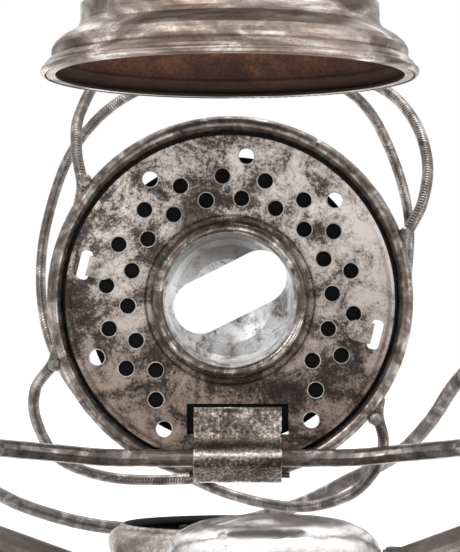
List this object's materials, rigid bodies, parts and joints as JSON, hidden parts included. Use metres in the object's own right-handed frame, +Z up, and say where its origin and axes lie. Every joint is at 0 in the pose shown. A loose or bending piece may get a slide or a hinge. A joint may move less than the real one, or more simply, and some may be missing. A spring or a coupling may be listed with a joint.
{
  "type": "hanging lantern",
  "caption": "Tubular fuel lantern with sheet-steel tank, side air tubes, sprung hood, bail and a globe basket hinged back to show its perforated plate and flame slot.",
  "frame": {"origin": "centre of the foot ring's underside, on the burner's axis", "axes": "+Z up along the burner's axis; -Y the front, where the filler cap is; +X the side with the lifting lever"},
  "size_m": [0.2065, 0.2158, 0.3027],
  "materials": {
    "tinned": "worn tinned sheet steel, dulled brown-grey",
    "tinned_dark": "dark worn tinned sheet steel",
    "tinned_bright": "bright tinned steel",
    "plate": "mottled tin, tan-grey with dark blotches",
    "collar": "rolled rim with a coppery tint",
    "cone": "dull zinc-grey, dark with soot near the slot",
    "ring": "dark grey-brown rolled steel",
    "strap": "speckled tan-grey steel with brown stains",
    "hood": "worn tinned steel, rust brown inside",
    "wire": "dark steel wire",
    "sooty": "sooty dark steel",
    "brass": "tarnished brass",
    "cork": "dark cork washer",
    "wick": "flat woven cotton, charred at the top"
  },
  "bodies": {
    "frame": {"fount_base": "tinned_dark", "fount_shell": "tinned", "fount_collar": "brass", "filler_neck": "tinned", "air_chamber": "tinned", "side_tube_left": "tinned", "side_tube_right": "tinned", "tube_brace_left": "tinned_dark", "tube_brace_right": "tinned_dark", "crown_drum": "tinned", "chimney_neck": "sooty", "chimney_cap": "tinned", "bail_ear_left": "tinned", "bail_ear_right": "tinned", "lever_bracket": "tinned_dark", "lever_pin": "tinned_bright", "burner_base": "brass", "burner_gallery": "brass", "wick_tube": "brass"},
    "cap_seal": {"cap_gasket": "cork"},
    "fuel_cap": {"filler_cap": "tinned_bright"},
    "carriage": {"hinge_wire": "wire"},
    "basket": {"globe_plate": "plate", "plate_collar": "collar", "burner_cone": "cone", "globe_seat": "sooty", "basket_ring": "ring", "basket_wire_left": "wire", "basket_wire_right": "wire", "hinge_strap": "strap", "hinge_pin": "wire"},
    "lever": {"lift_lever": "tinned_bright"},
    "hood": {"hood_bell": "hood", "hood_tube": "hood", "hood_bridge": "sooty", "lift_rod": "wire", "hood_spring": "wire"},
    "bail_handle": {"bail": "wire"},
    "wick_winder": {"wick_shaft": "wire", "wick_knob": "brass"},
    "wick_strip": {"wick": "wick"}
  },
  "joints": [
    {"name": "carriage_lift", "type": "slide", "parent": "frame", "child": "carriage", "axis": [0, 0, 1], "range_m": [-0.01, 0]},
    {"name": "basket_tilt", "type": "hinge", "parent": "carriage", "child": "basket", "pos_m": [0, 0.0403, 0.0849], "axis": [1, 0, 0], "range_deg": [0, 16]},
    {"name": "lever_turn", "type": "hinge", "parent": "frame", "child": "lever", "pos_m": [0.087, -0.0155, 0.086], "axis": [0, 1, 0], "range_deg": [-36.5, 0]},
    {"name": "hood_lift", "type": "slide", "parent": "frame", "child": "hood", "axis": [0, 0, 1], "range_m": [0, 0.026], "stiffness_N_per_m": 60, "springref_m": -0.01, "deforming": ["hood_spring"]},
    {"name": "bail_swing", "type": "hinge", "parent": "frame", "child": "bail_handle", "pos_m": [0, 0, 0.2], "axis": [1, 0, 0], "range_deg": [0, 270]},
    {"name": "cap_lift", "type": "slide", "parent": "frame", "child": "cap_seal", "axis": [0, 0, 1], "range_m": [0, 0.0081]},
    {"name": "cap_turn", "type": "hinge", "parent": "cap_seal", "child": "fuel_cap", "pos_m": [0.009, -0.051, 0.07], "axis": [0, 0, 1], "range_deg": [0, 720]},
    {"name": "wick_turn", "type": "hinge", "parent": "frame", "child": "wick_winder", "pos_m": [-0.00252, -0.00506, 0.061], "axis": [0.8949, -0.4462, 0], "range_deg": [-54, 109]},
    {"name": "wick_rise", "type": "slide", "parent": "frame", "child": "wick_strip", "axis": [0, 0, 1], "range_m": [-0.0041, 0.0081]}
  ],
  "couplings": [
    {"joint": "lever_turn", "follows": "carriage_lift", "rad_per_m": 62.83},
    {"joint": "cap_lift", "follows": "cap_turn", "m_per_rad": 0.00063662},
    {"joint": "wick_rise", "follows": "wick_turn", "m_per_rad": 0.0042}
  ]
}
